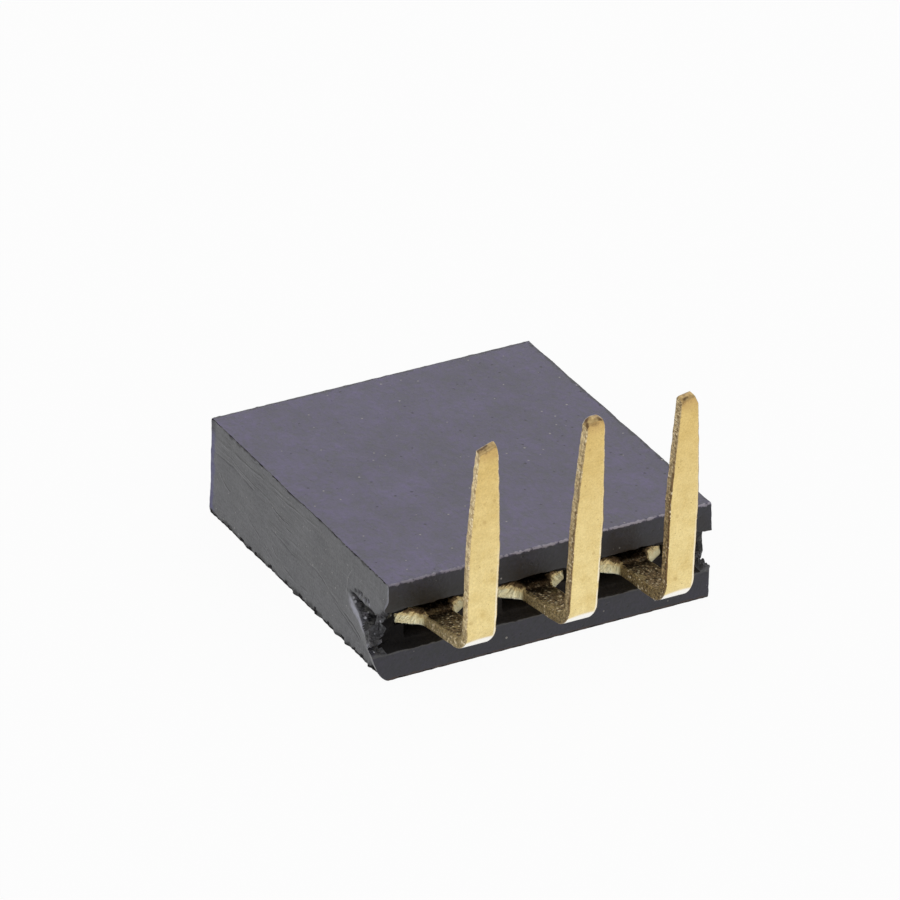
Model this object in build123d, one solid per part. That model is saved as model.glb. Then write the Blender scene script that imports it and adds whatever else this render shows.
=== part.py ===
from build123d import *

import os

# A three-way right-angle socket header, cut from a longer moulded strip. It lies as it does on a bench,
# the flat side of its housing down and its solder legs up.
# X runs along the row of contacts, from the torn end of the housing to the other end.
# Y runs from the rear face, where the tails come out, to the mating face with its pin entries.
# Z is up, and the face at the top of the housing is the one that seats on a circuit board.
# The origin is on the resting face, below the middle of the row and halfway along the housing's depth.

# Row of contacts
WAYS = 3
PITCH = 2.54

# Housing block
HOUSING_DEPTH = 8.5
HOUSING_HEIGHT = 2.5
LEFT_MARGIN = 1.38  # from the first contact's centre to the torn end
RIGHT_MARGIN = 1.96  # from the last contact's centre to the other end
EDGE_ROUND = 0.05

# Slot along the rear face, open at both ends
SLOT_HEIGHT = 1.06
SLOT_DEPTH = 0.48
SLOT_ROUND = 0.16

# Cavity behind each pin entry
FRONT_WALL = 1.0
CHANNEL_WIDTH = 1.40  # room for the mating pin above and below the fork
CHANNEL_HEIGHT = 1.0
ENTRY_WIDTH = 0.90
LEAD_IN_WIDTH = 1.60
LEAD_IN_DEPTH = 0.40

# Contact strip and its flat body
STRIP = 0.25
BODY_WIDTH = 1.86
BODY_LENGTH = 1.9
SHOULDER_RUN = 0.36  # how far the slanting shoulders reach along Y
SHOULDER_INSET = 0.03  # the shoulders' outer ends stand this far inside the slot's floor
BARB_LENGTH = 0.35
BARB_HEIGHT = 0.02
GROOVE_CLEARANCE = 0.03

# Fork that grips the mating pin
PRONG_WIDTH = 0.40
PRONG_TIP_WIDTH = 0.24
FORK_TIP_GAP = 0.22  # between the prongs' ends and the front wall
NOSE_GAP = 0.52  # between the two noses, under the 0.64 of a mating pin
NOSE_SETBACK = 0.70
MOUTH_GAP = 0.90
THROAT_ROUND = 0.25

# Tail and leg
TAIL_WIDTH = 0.74
TAIL_REACH = 1.65  # from the rear face to the middle of the leg
TAIL_RISE = 0.27
TAIL_STRAIGHT = 0.12  # level part of the tail outside the shoulders
RISE_RADIUS = 1.2
BEND_RADIUS = 0.32  # on the middle of the strip
LEG_ABOVE = 4.13  # from the board face to the leg's highest point
TAPER_ABOVE = 1.50  # from the board face to where the leg starts to taper
TIP_WIDTH = 0.46
TIP_SLOPE = 0.11  # how much lower the tip's left corner is than its apex
TIP_CHAMFER = 0.17
TIP_CHAMFER_DROP = 0.21
TIP_BEVEL = 0.05
LEG_LEANS = ((0.0, 0.03), (0.05, 0.17), (0.05, 0.08))  # sideways error of each leg, at its foot and its tip

# Torn hollow at the cut end, as (distance in from the rear face, height over the slot's middle)
TEAR_DEPTH = 0.26
TEAR_TAPER = 30
TEAR_OUTLINE = (
    (-0.20, -0.50),
    (0.30, -0.36),
    (0.70, -0.16),
    (1.20, 0.02),
    (1.85, 0.20),
    (1.36, 0.27),
    (0.85, 0.37),
    (0.30, 0.34),
    (-0.20, 0.56),
)

# Flare that the cut left under the hollow, as (distance in, height of its foot, height of its crest, reach)
FLARE_ROOT = 0.1
FLARE_SECTIONS = (
    (0.0, 0.0, 0.80, 0.44),
    (0.7, 0.24, 1.08, 0.18),
    (1.8, 0.80, 1.38, 0.02),
)

# Places that follow from the sizes above
OVERCUT = 0.1
REAR_Y = -HOUSING_DEPTH / 2
MATING_Y = HOUSING_DEPTH / 2
MID_Z = HOUSING_HEIGHT / 2
SLOT_FLOOR_Y = REAR_Y + SLOT_DEPTH
CAVITY_END_Y = MATING_Y - FRONT_WALL
FIRST_X = -(WAYS - 1) / 2 * PITCH
LEFT_X = FIRST_X - LEFT_MARGIN
RIGHT_X = FIRST_X + (WAYS - 1) * PITCH + RIGHT_MARGIN
HOUSING_WIDTH = RIGHT_X - LEFT_X
SHOULDER_END_Y = SLOT_FLOOR_Y + SHOULDER_INSET
SHOULDER_ROOT_Y = SHOULDER_END_Y - SHOULDER_RUN
BODY_END_Y = SHOULDER_END_Y + BODY_LENGTH
FORK_TIP_Y = CAVITY_END_Y - FORK_TIP_GAP
NOSE_Y = FORK_TIP_Y - NOSE_SETBACK
LEG_Y = REAR_Y - TAIL_REACH
LEG_TOP = HOUSING_HEIGHT + LEG_ABOVE


def row_of_ways():
    """The X of each contact, from left to right."""
    return [FIRST_X + way * PITCH for way in range(WAYS)]


def cavity(x):
    """The room behind one pin entry: a thin groove for the contact, crossed by a taller channel for the pin."""
    groove_width = BODY_WIDTH + 2 * GROOVE_CLEARANCE
    groove_height = STRIP + 2 * GROOVE_CLEARANCE
    length = CAVITY_END_Y - REAR_Y
    forward = (Align.CENTER, Align.MIN, Align.CENTER)
    start = Pos(x, REAR_Y, MID_Z)
    groove = start * Box(groove_width, length, groove_height, align=forward)
    channel = start * Box(CHANNEL_WIDTH, length, CHANNEL_HEIGHT, align=forward)
    entry = start * Box(ENTRY_WIDTH, HOUSING_DEPTH + OVERCUT, ENTRY_WIDTH, align=forward)
    on_face = Plane(origin=(x, MATING_Y, MID_Z), z_dir=(0, -1, 0))
    mouth = on_face * Rectangle(LEAD_IN_WIDTH, LEAD_IN_WIDTH)
    throat = on_face.offset(LEAD_IN_DEPTH) * Rectangle(ENTRY_WIDTH, ENTRY_WIDTH)
    return channel + groove + entry + loft([mouth, throat])


def rear_slot():
    """The slot that runs along the whole rear face, with its two inner corners rounded."""
    slot = Pos(LEFT_X - OVERCUT, REAR_Y - OVERCUT, MID_Z) * Box(
        HOUSING_WIDTH + 2 * OVERCUT,
        SLOT_DEPTH + OVERCUT,
        SLOT_HEIGHT,
        align=(Align.MIN, Align.MIN, Align.CENTER),
    )
    inner_corners = slot.edges().filter_by(Axis.X).group_by(Axis.Y)[-1]
    return fillet(inner_corners, SLOT_ROUND)


def torn_hollow():
    """The ragged hollow left where the next piece of the strip was torn away."""
    outline = [(REAR_Y + inward, MID_Z + height) for inward, height in TEAR_OUTLINE]
    end_face = Plane(origin=(LEFT_X - OVERCUT, 0, 0), x_dir=(0, 1, 0), z_dir=(1, 0, 0))
    return extrude(end_face * Polygon(*outline, align=None), amount=TEAR_DEPTH + OVERCUT, taper=TEAR_TAPER)


def cut_flare():
    """The thin flare of the lower wall that the cut left standing out from the end face."""
    sections = []
    for inward, foot, crest, reach in FLARE_SECTIONS:
        across = Plane(origin=(LEFT_X, REAR_Y + inward, 0), x_dir=(1, 0, 0), z_dir=(0, -1, 0))
        sections.append(across * Polygon((FLARE_ROOT, foot), (-reach, crest), (FLARE_ROOT, crest), align=None))
    return loft(sections, ruled=True)


def make_housing():
    """The moulded block with its slot, its cavities and the torn end."""
    block = Pos(LEFT_X, REAR_Y, 0) * Box(
        HOUSING_WIDTH, HOUSING_DEPTH, HOUSING_HEIGHT, align=(Align.MIN, Align.MIN, Align.MIN)
    )
    housing = fillet(block.edges().filter_by(Axis.X), EDGE_ROUND) - rear_slot()
    for x in row_of_ways():
        housing -= cavity(x)
    return housing - torn_hollow() + cut_flare()


def make_fork():
    """The flat body of a contact with its shoulders, barbs and two prongs, centred on X = 0."""
    tail = TAIL_WIDTH / 2
    body = BODY_WIDTH / 2
    nose = NOSE_GAP / 2
    mouth = MOUTH_GAP / 2
    barb_y = BODY_END_Y - BARB_LENGTH
    half = make_face(
        Polyline(
            (0, SHOULDER_ROOT_Y),
            (tail, SHOULDER_ROOT_Y),
            (body, SHOULDER_END_Y),
            (body, barb_y - BARB_LENGTH),
            (body + BARB_HEIGHT, barb_y),
            (body, barb_y),
            (body, BODY_END_Y),
            (nose + PRONG_WIDTH, NOSE_Y),
            (mouth + PRONG_TIP_WIDTH, FORK_TIP_Y),
            (mouth, FORK_TIP_Y),
            (nose, NOSE_Y),
            (body - PRONG_WIDTH, BODY_END_Y),
            (0, BODY_END_Y),
            close=True,
        )
    )
    blank = half + mirror(half, Plane.YZ)
    throat = [corner for corner in blank.vertices() if corner.Y == BODY_END_Y and abs(corner.X) < body]
    return extrude(Pos(0, 0, MID_Z) * fillet(throat, THROAT_ROUND), amount=STRIP / 2, both=True)


def leg_outline(foot, tip):
    """The tail and leg as they look from behind: one width up to the taper, then narrowing to a cut tip."""
    half = TAIL_WIDTH / 2
    half_tip = TIP_WIDTH / 2
    bend_z = MID_Z + TAIL_RISE + BEND_RADIUS
    taper_z = HOUSING_HEIGHT + TAPER_ABOVE
    middle = foot + (tip - foot) * (taper_z - bend_z) / (LEG_TOP - bend_z)
    return Polyline(
        (foot - half, 0),
        (foot + half, 0),
        (foot + half, bend_z),
        (middle + half, taper_z),
        (tip + half_tip, LEG_TOP - TIP_CHAMFER_DROP),
        (tip + half_tip - TIP_CHAMFER, LEG_TOP),
        (tip - half_tip, LEG_TOP - TIP_SLOPE),
        (middle - half, taper_z),
        (foot - half, bend_z),
        close=True,
    )


def make_tail(foot, tip):
    """The strip from the shoulders out of the slot, round its bend and up the leg."""
    inside_y = SHOULDER_ROOT_Y + STRIP
    route = FilletPolyline(
        (inside_y, MID_Z),
        (SHOULDER_ROOT_Y - TAIL_STRAIGHT, MID_Z),
        (LEG_Y, MID_Z + TAIL_RISE),
        (LEG_Y, LEG_TOP),
        radius=(RISE_RADIUS, BEND_RADIUS),
    )
    side = trace(route, STRIP)
    side = chamfer(side.vertices().group_by(Axis.Y)[-1], TIP_BEVEL)
    strip = extrude(Plane.YZ * side, amount=TAIL_WIDTH, both=True)
    from_behind = Plane(origin=(0, inside_y, 0), x_dir=(1, 0, 0), z_dir=(0, -1, 0))
    return strip & extrude(from_behind * make_face(leg_outline(foot, tip)), amount=inside_y - LEG_Y + STRIP)


def make_contact(x, foot, tip):
    """One stamped contact, its fork in the housing and its leg outside."""
    return Pos(x, 0, 0) * (make_fork() + make_tail(foot, tip))


os.makedirs("parts", exist_ok=True)
export_step(make_housing(), "parts/housing.step")
for number, x in enumerate(row_of_ways()):
    foot, tip = LEG_LEANS[number % len(LEG_LEANS)]
    export_step(make_contact(x, foot, tip), f"parts/contact_{number + 1}.step")
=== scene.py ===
# %% [markdown]
# # A right-angle socket header, snapped from a longer strip
# The object is a black moulded housing, 8.5 mm deep and 2.5 mm high, with three stamped and gold-plated
# contacts in it. It lies on its back: the face that seats on a circuit board looks up, and so do the solder
# legs. One end of the housing was cut and torn when the strip was divided, and that end is the most telling
# part of the picture, with its knife marks, a ragged hollow, and a thin flare of plastic left standing.
# This first cell loads the imported CAD model, which fixes every size and place.

import math

import bpy
import numpy as np
from mathutils import Matrix, Vector


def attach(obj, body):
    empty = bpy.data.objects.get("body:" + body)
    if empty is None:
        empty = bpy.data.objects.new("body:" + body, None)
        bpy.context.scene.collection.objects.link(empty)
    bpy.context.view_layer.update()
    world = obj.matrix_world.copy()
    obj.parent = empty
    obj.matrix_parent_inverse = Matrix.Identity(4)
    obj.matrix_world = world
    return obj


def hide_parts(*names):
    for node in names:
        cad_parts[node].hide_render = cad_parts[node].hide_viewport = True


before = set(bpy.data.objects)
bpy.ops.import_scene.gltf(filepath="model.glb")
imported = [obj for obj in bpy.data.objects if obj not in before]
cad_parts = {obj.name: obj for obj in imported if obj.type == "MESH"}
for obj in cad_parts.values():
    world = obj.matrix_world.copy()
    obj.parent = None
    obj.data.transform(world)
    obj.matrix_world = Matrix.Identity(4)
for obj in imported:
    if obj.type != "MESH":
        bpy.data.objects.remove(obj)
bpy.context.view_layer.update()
MM = 0.001

# %% [markdown]
# ## The camera
# The picture was taken from far away with a long lens, so parallel edges stay nearly parallel. The camera
# looks from the left rear and from above, and it is rolled two degrees, so the legs lean to the right.
# A camera can be placed by hand in the viewport, but plain angles are easier to check against a photograph.

# %% Camera
AZIMUTH, ELEVATION, ROLL = (math.radians(angle) for angle in (-30.174, 29.628, 2.014))
AIM = (-0.164 * MM, -0.275 * MM, 3.005 * MM)
DISTANCE = 182.57 * MM

back = Vector((
    math.sin(AZIMUTH) * math.cos(ELEVATION),
    -math.cos(AZIMUTH) * math.cos(ELEVATION),
    math.sin(ELEVATION),
))
turn = (-back).to_track_quat("-Z", "Y").to_matrix() @ Matrix.Rotation(ROLL, 3, "Z")
camera = bpy.data.objects.new("camera", bpy.data.cameras.new("camera"))
bpy.context.scene.collection.objects.link(camera)
camera.data.lens = 320
camera.data.sensor_width = 36
camera.data.clip_start, camera.data.clip_end = 0.01, 5
camera.matrix_world = Matrix.Translation(Vector(AIM) + back * DISTANCE) @ turn.to_4x4()
bpy.context.scene.camera = camera
print("camera at", [round(v / MM, 2) for v in camera.matrix_world.translation], "mm")

# %% [markdown]
# ## Helpers for shader nodes
# Most of the work in a material is joining nodes. A small class lets a node's output be added or multiplied
# like a number, and a few functions add nodes and start or place a node group. A group is built once and then
# placed in every material that needs the effect, with its own values each time.

# %% Node helpers
class Field:
    """A value, colour or position inside a node tree, so that shader arithmetic reads like arithmetic."""

    def __init__(self, socket):
        self.socket, self.tree = socket, socket.id_data

    def __add__(self, other):
        return maths("ADD", self, other)

    def __sub__(self, other):
        return maths("SUBTRACT", self, other)

    def __mul__(self, other):
        return maths("MULTIPLY", self, other)

    def __truediv__(self, other):
        return maths("DIVIDE", self, other)

    def __rtruediv__(self, other):
        return maths("DIVIDE", other, self)

    def __abs__(self):
        return maths("ABSOLUTE", self)


def fill(socket, value):
    """Link a field to a socket, or set a plain value on it."""
    if isinstance(value, Field):
        socket.id_data.links.new(value.socket, socket)
    else:
        socket.default_value = value


def node(tree, kind, inputs=None, out=0, **settings):
    """Add a node, set its properties, fill its inputs by name or number, and return one output or several."""
    new = tree.nodes.new(kind)
    for key, value in settings.items():
        setattr(new, key, value)
    for key, value in (inputs or {}).items():
        fill(new.inputs[key], value)
    if isinstance(out, tuple):
        return [Field(new.outputs[key]) for key in out]
    return Field(new.outputs[out]) if len(new.outputs) else None


def tree_of(values):
    """The node tree of the first field among the values."""
    return next(value.tree for value in values if isinstance(value, Field))


def maths(operation, *values, clamp=False):
    """The result of a Math node on fields and plain numbers."""
    inputs = dict(enumerate(values))
    return node(tree_of(values), "ShaderNodeMath", inputs, operation=operation, use_clamp=clamp)


def vector_maths(operation, *values, out=0):
    """The result of a Vector Math node on fields and plain vectors."""
    return node(tree_of(values), "ShaderNodeVectorMath", dict(enumerate(values)), out, operation=operation)


def group(name, inputs, outputs):
    """Start a shader node group, with its inputs and their defaults by name, and the names of its outputs."""
    tree = bpy.data.node_groups.new(name, "ShaderNodeTree")
    for key, default in inputs.items():
        kind = "NodeSocketFloat" if isinstance(default, float) else "NodeSocketVector"
        tree.interface.new_socket(key, in_out="INPUT", socket_type=kind).default_value = default
    for key in outputs:
        tree.interface.new_socket(key, in_out="OUTPUT", socket_type="NodeSocketFloat")
    start, end = tree.nodes.new("NodeGroupInput"), tree.nodes.new("NodeGroupOutput")
    return [Field(start.outputs[key]) for key in inputs], end.inputs


def place(name, out=0, **inputs):
    """Place a node group where its inputs are, with its own values."""
    new = tree_of(inputs.values()).nodes.new("ShaderNodeGroup")
    new.node_tree = bpy.data.node_groups[name]
    for key, value in inputs.items():
        fill(new.inputs[key.replace("_", " ")], value)
    return [Field(new.outputs[key]) for key in out] if isinstance(out, tuple) else Field(new.outputs[out])


print("node helpers ready")

# %% [markdown]
# ## Light, floor and background
# The photograph was lit by large white panels and cut out on white. Here the world is plain white for every
# ray that reaches it from the camera or from a shiny surface, and a little dimmer for the soft light that it
# throws on the object. One broad panel stands behind and above, because the top of the housing reflects it
# at a low angle, and a smaller one stands at the left front. The floor shows white to the camera too, and
# keeps the object's shadow, mixed in faintly.

# %% World and lamps
def seen_directly(tree):
    """1 for rays from the camera, from a mirror or through glass, and 0 for soft light."""
    camera_ray, glossy, through = node(
        tree, "ShaderNodeLightPath", out=("Is Camera Ray", "Is Glossy Ray", "Is Transmission Ray"))
    return maths("MAXIMUM", maths("MAXIMUM", camera_ray, glossy), through)


world = bpy.data.worlds.new("studio")
bpy.context.scene.world = world
world.use_nodes = True
sky = world.node_tree
sky.nodes.clear()
soft = node(sky, "ShaderNodeBackground", {"Color": (1, 1, 1, 1), "Strength": 0.55})
white = node(sky, "ShaderNodeBackground", {"Color": (1, 1, 1, 1), "Strength": 1.0})
mixed = node(sky, "ShaderNodeMixShader", {0: seen_directly(sky), 1: soft, 2: white})
node(sky, "ShaderNodeOutputWorld", {"Surface": mixed})


def panel(name, spot, aim, size, power):
    """A square area lamp, in mm and milliwatts, that faces its aim."""
    lamp = bpy.data.objects.new(name, bpy.data.lights.new(name, "AREA"))
    lamp.data.shape = "SQUARE"
    lamp.data.size = size * MM
    lamp.data.energy = power * 0.001
    turn = (Vector(aim) - Vector(spot)).to_track_quat("-Z", "Y").to_matrix().to_4x4()
    lamp.matrix_world = Matrix.Translation(Vector(spot) * MM) @ turn
    bpy.context.scene.collection.objects.link(lamp)


panel("panel_behind", (60, 110, 95), (0, 0, 1), 90, 18)
panel("panel_front", (-90, -70, 110), (0, 0, 1), 70, 16)
print("world and", len(bpy.data.lights), "panels")

# %% Floor
FLOOR_HALF, FLOOR_DROP = 1.0, 0.01 * MM  # the drop keeps the floor clear of the resting face
floor_mesh = bpy.data.meshes.new("floor")
floor_corners = [
    (x * FLOOR_HALF, y * FLOOR_HALF, -FLOOR_DROP) for x, y in ((-1, -1), (1, -1), (1, 1), (-1, 1))
]
floor_mesh.from_pydata(floor_corners, [], [(0, 1, 2, 3)])
floor = bpy.data.objects.new("floor", floor_mesh)
bpy.context.scene.collection.objects.link(floor)
paper = bpy.data.materials.new("pale_floor")
paper.use_nodes = True
tree = paper.node_tree
tree.nodes.clear()
matt = node(tree, "ShaderNodeBsdfDiffuse", {"Color": (0.86, 0.86, 0.86, 1)})
glow = node(tree, "ShaderNodeEmission", {"Color": (1, 1, 1, 1), "Strength": 1.0})
mixed = node(tree, "ShaderNodeMixShader", {0: seen_directly(tree) * 0.95, 1: matt, 2: glow})
node(tree, "ShaderNodeOutputMaterial", {"Surface": mixed})
floor_mesh.materials.append(paper)
print("floor", round(2 * FLOOR_HALF / MM), "mm across")

# %% [markdown]
# ## A solid from layers
# Both the housing and the contacts are made the same way. A sheet of grid cells, some of them left out, is
# stacked in layers, and the outer faces of the stack are kept: the first layer, the last layer, and a wall
# wherever a kept cell has no neighbour. All of it is whole-array work in numpy: the layers are an array of
# points, so any bulge, taper or round is a formula on that array before the faces are made.

# %% Layered solid
def layered_solid(present, layers):
    """Outer faces of a stack of layers[k, i, j] of points, where present[i, j] says which cells are solid.
    Returns the points, the quads, for each quad 0 for the first layer, 1 for the last, 2 for a wall across i
    and 3 for a wall across j, and the number of each point in the stack. The quads face outwards where
    k, i, j run as x, y, z do."""
    count, rows, columns = layers.shape[:3]
    number = np.arange(count * rows * columns).reshape(count, rows, columns)
    corners = [number[:, :-1, :-1], number[:, 1:, :-1], number[:, 1:, 1:], number[:, :-1, 1:]]
    first = np.stack([corners[n][0][present] for n in (0, 3, 2, 1)], -1)
    last = np.stack([corners[n][-1][present] for n in (0, 1, 2, 3)], -1)
    solid = np.pad(present, 1)
    quads, kinds = [first, last], [0, 1]
    low_i = solid[1:, 1:-1] & ~solid[:-1, 1:-1]
    high_i = ~solid[1:, 1:-1] & solid[:-1, 1:-1]
    low_j = solid[1:-1, 1:] & ~solid[1:-1, :-1]
    high_j = ~solid[1:-1, 1:] & solid[1:-1, :-1]
    for edge, axis, flip in ((low_i, 0, True), (high_i, 0, False), (low_j, 1, False), (high_j, 1, True)):
        a = (number[:, :, :-1] if axis == 0 else number[:, :-1, :])[:, edge]
        b = (number[:, :, 1:] if axis == 0 else number[:, 1:, :])[:, edge]
        wall = np.stack([a[:-1], b[:-1], b[1:], a[1:]], -1).reshape(-1, 4)
        quads.append(wall[:, ::-1] if flip else wall)
        kinds.append(2 + axis)
    kinds = np.concatenate([np.full(len(quad), kind) for quad, kind in zip(quads, kinds)])
    quads = np.concatenate(quads)
    used, quads = np.unique(quads, return_inverse=True)
    return layers.reshape(-1, 3)[used], quads.reshape(-1, 4), kinds, used


def signed_volume(points, quads):
    """Volume inside the quads: a sixth of the sum of a . (b x c) over their triangles."""
    a, b, c, d = (points[quads[:, n]] for n in range(4))
    return (np.einsum("ij,ij->i", a, np.cross(b, c)) + np.einsum("ij,ij->i", a, np.cross(c, d))).sum() / 6


def make_piece(name, points, faces, kinds, sharp, attributes=None):
    """A mesh object in metres from points in mm, with a material number for each face."""
    mesh = bpy.data.meshes.new(name)
    mesh.from_pydata((points * MM).tolist(), [], faces.tolist())
    mesh.polygons.foreach_set("material_index", kinds.astype(np.int32))
    mesh.polygons.foreach_set("use_smooth", np.ones(len(faces), bool))
    for key, values in (attributes or {}).items():
        mesh.attributes.new(key, "FLOAT_VECTOR", "POINT").data.foreach_set("vector", values.ravel())
    mesh.set_sharp_from_angle(angle=math.radians(sharp))
    piece = bpy.data.objects.new(name, mesh)
    bpy.context.scene.collection.objects.link(piece)
    print(f"{name}: {len(points)} points, {len(faces)} faces, {signed_volume(points, faces):.2f} mm3")
    return piece


def ripple(*coords, size, seed, waves=14):
    """Smooth unevenness of about -1 to 1: sine waves of seeded directions, pitches near size, and phases."""
    random = np.random.default_rng(seed)
    total = 0
    for _ in range(waves):
        heading = random.normal(size=len(coords))
        heading /= np.linalg.norm(heading) * size * random.uniform(0.6, 1.8)
        total = total + np.sin(2 * np.pi * (sum(c * h for c, h in zip(coords, heading)) + random.uniform()))
    return total / math.sqrt(waves)


def ease(x):
    """The smooth step: 0 below 0, 1 above 1, and 3x^2 - 2x^3 between."""
    x = np.clip(x, 0, 1)
    return x * x * (3 - 2 * x)


def mound(*terms):
    """A smooth mound: e to minus the sum of ((value - centre) / width)^2 over the given terms."""
    return np.exp(-sum(((value - centre) / width) ** 2 for value, centre, width in terms))


def stations(*runs):
    """Grid lines through runs of (end, number of steps), from the first value on."""
    lines = [runs[0]]
    for end, steps in runs[1:]:
        lines.extend(np.linspace(lines[-1], end, steps + 1)[1:])
    return np.array(lines)


print("layered_solid ready")

# %% [markdown]
# ## The housing
# The housing is a bar with a C-shaped section: a slot runs along its whole rear face, and the contacts'
# tails come out of it. The section is a grid over Y and Z with the slot's cells left out, and the layers
# follow X. A round edge is made by moving the small square of grid points at a corner onto a quarter disc.
# A Bevel modifier would give the same round everywhere, and worn edges are not the same everywhere.

# %% Housing sizes
REAR, FRONT, HIGH = -4.25, 4.25, 2.5
LEFT, RIGHT = -3.92, 4.50
MID_Z = HIGH / 2
SLOT_LOW, SLOT_TOP, SLOT_FLOOR = 0.72, 1.78, -3.77
EDGE, LIP, CORNER = 0.05, 0.03, 0.16
Y_LINES = stations(
    REAR, (REAR + EDGE, 4), (SLOT_FLOOR - CORNER, 6), (SLOT_FLOOR, 4), (-2.2, 50), (FRONT - EDGE, 70),
    (FRONT, 4),
)
Z_LINES = stations(
    0, (EDGE, 4), (SLOT_LOW - LIP, 13), (SLOT_LOW, 3), (SLOT_LOW + CORNER, 4), (SLOT_TOP - CORNER, 24),
    (SLOT_TOP, 4), (SLOT_TOP + LIP, 3), (HIGH - EDGE, 13), (HIGH, 4),
)
LEFT_ZONE = 0.62  # how far the torn end's shape reaches into the bar
LEFT_STEPS = np.array([0, 0.04, 0.09, 0.15, 0.22, 0.3, 0.4, 0.52, 0.66, 0.82])
X_LINES = stations(LEFT + LEFT_ZONE, (RIGHT - 0.5, 92), (RIGHT - 0.12, 6), (RIGHT, 4))
print("section grid", len(Y_LINES), "x", len(Z_LINES), "and", len(LEFT_STEPS) + len(X_LINES), "layers")

# %% [markdown]
# The torn end is a height field: for each place on the end face, how far it stands out or in. The hollow is
# a polygon measured on the photograph, deeper away from its outline. The flare is the lower wall's own end,
# pushed outwards below a crest that climbs away from the rear face. Small mounds make the overhang at the
# hollow's mouth, the burrs that the blade left along the lower edge, and the pits above the hollow.

# %% Shape of the torn end
HOLLOW = np.array([  # distance in from the rear face, height
    (-0.20, 0.66), (0.30, 0.74), (0.62, 0.82), (0.80, 0.92), (0.92, 1.06), (1.05, 1.17), (1.25, 1.23),
    (1.45, 1.29), (1.80, 1.43), (1.50, 1.46), (1.25, 1.46), (1.05, 1.43), (0.92, 1.47), (0.75, 1.48),
    (0.60, 1.47), (0.42, 1.53), (0.22, 1.72), (-0.20, 1.90),
])
HOLLOW_DEPTH = 0.26
WEB_REACH = 0.17  # how far the slot's floor stands out towards the rear where the end is torn
FAR_WEB_REACH = 0.13  # the same at the other end
FAR_LIP_RISE = 0.11  # how far the slot's lower lip stands up at the other end
FLARE = np.array([  # distance in from the rear face, foot, crest, reach
    (0.0, 0.0, 0.80, 0.44), (0.35, 0.10, 0.90, 0.36), (0.7, 0.24, 1.03, 0.20), (1.2, 0.48, 1.20, 0.09),
    (1.8, 0.80, 1.38, 0.02), (2.2, 1.0, 1.42, 0.0),
])
PITS = (  # distance in from the rear face, height, width
    (1.40, 1.58, 0.045), (1.27, 1.61, 0.040), (1.06, 1.57, 0.040), (0.93, 1.61, 0.035), (1.55, 1.55, 0.035),
)
END_MOUNDS = (  # distance in from the rear face, height, width along each, and how far in, below zero for out
    # the overhang
    (0.05, 1.86, 0.30, 0.12, -0.10), (0.0, HIGH, 0.25, 0.12, -0.02),
    # the burrs, and last the lower rear corner, knocked in
    (4.30, 0.03, 0.09, 0.07, -0.06), (2.35, 0.03, 0.09, 0.07, -0.05), (1.85, 0.03, 0.09, 0.07, -0.05),
    (3.30, 0.03, 0.09, 0.07, -0.03), (6.60, 0.03, 0.09, 0.07, -0.03), (0.75, 0.02, 0.07, 0.08, -0.05),
    (0.0, 0.0, 0.15, 0.12, 0.05),
    *((inward, up, wide, wide, 0.09) for inward, up, wide in PITS),
)


def inside_distance(a, b, outline):
    """How far each point (a, b) is inside a closed outline, negative outside it."""
    start, end = outline, np.roll(outline, -1, axis=0)
    run = end - start
    offset = np.stack([a, b], -1)[..., None, :] - start
    along = np.clip((offset * run).sum(-1) / (run * run).sum(-1), 0, 1)
    nearest = np.linalg.norm(offset - along[..., None] * run, axis=-1).min(-1)
    above = (start[:, 1] <= b[..., None]) != (end[:, 1] <= b[..., None])
    crossing = start[:, 0] + (b[..., None] - start[:, 1]) / np.where(run[:, 1] == 0, 1, run[:, 1]) * run[:, 0]
    odd = (above & (a[..., None] < crossing)).sum(-1) % 2 == 1
    return np.where(odd, nearest, -nearest)


def torn_end(y, z):
    """X of the end face: a flat cut with the hollow, the flare, the mounds and noise."""
    inward = y - REAR
    foot, crest, reach = (np.interp(inward, FLARE[:, 0], FLARE[:, n]) for n in (1, 2, 3))
    climb = np.clip((z - foot) / (crest - foot), 0, 1) ** 0.6
    standing = reach * climb * ease((crest + 0.05 - z) / 0.05)
    hollow = ease(inside_distance(inward, z, HOLLOW) / 0.10) * (0.35 + 0.65 * ease((inward - 0.66) / 0.25))
    rough = 0.06 * ripple(y, z, size=0.24, seed=3) + 0.045 * ripple(y, z, size=0.11, seed=4)
    wave = 0.010 * ripple(y, z, size=1.3, seed=5) + 0.004 * ripple(y, z, size=0.3, seed=6)
    ragged = ripple(y, size=0.30, seed=7) + 0.7 * ripple(y, size=0.12, seed=9)
    wave = wave + 0.007 * ragged * mound((z, 0, 0.10))
    wave = wave + 0.007 * ripple(y, size=0.14, seed=10) * mound((z, HIGH, 0.05))
    for a, b, wide_a, wide_b, depth in END_MOUNDS:
        wave = wave + depth * mound((inward, a, wide_a), (z, b, wide_b))
    return LEFT + (HOLLOW_DEPTH + rough) * hollow - standing + wave


print("deepest", round(float(HOLLOW_DEPTH), 2), "mm, furthest out", FLARE[0, 3], "mm")

# %% Housing layers
def rounded(a, b, corner_a, corner_b, side_a, side_b, radius, amount):
    """Move grid points near a square corner onto a quarter disc: (u, v) goes to (u, v) max(u, v) / |(u, v)|,
    with u and v measured back from the corner along the two sides."""
    u = (a - (corner_a - side_a * radius)) * side_a
    v = (b - (corner_b - side_b * radius)) * side_b
    near = (u > 0) & (v > 0) & (u <= radius * 1.001) & (v <= radius * 1.001)
    length = np.where(near, np.hypot(u, v), 1)
    shrink = np.where(near, np.maximum(u, v) / length, 1)
    shrink = 1 + (shrink - 1) * amount
    moved_a = np.where(near, a + side_a * u * (shrink - 1), a)
    return moved_a, np.where(near, b + side_b * v * (shrink - 1), b)


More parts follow.
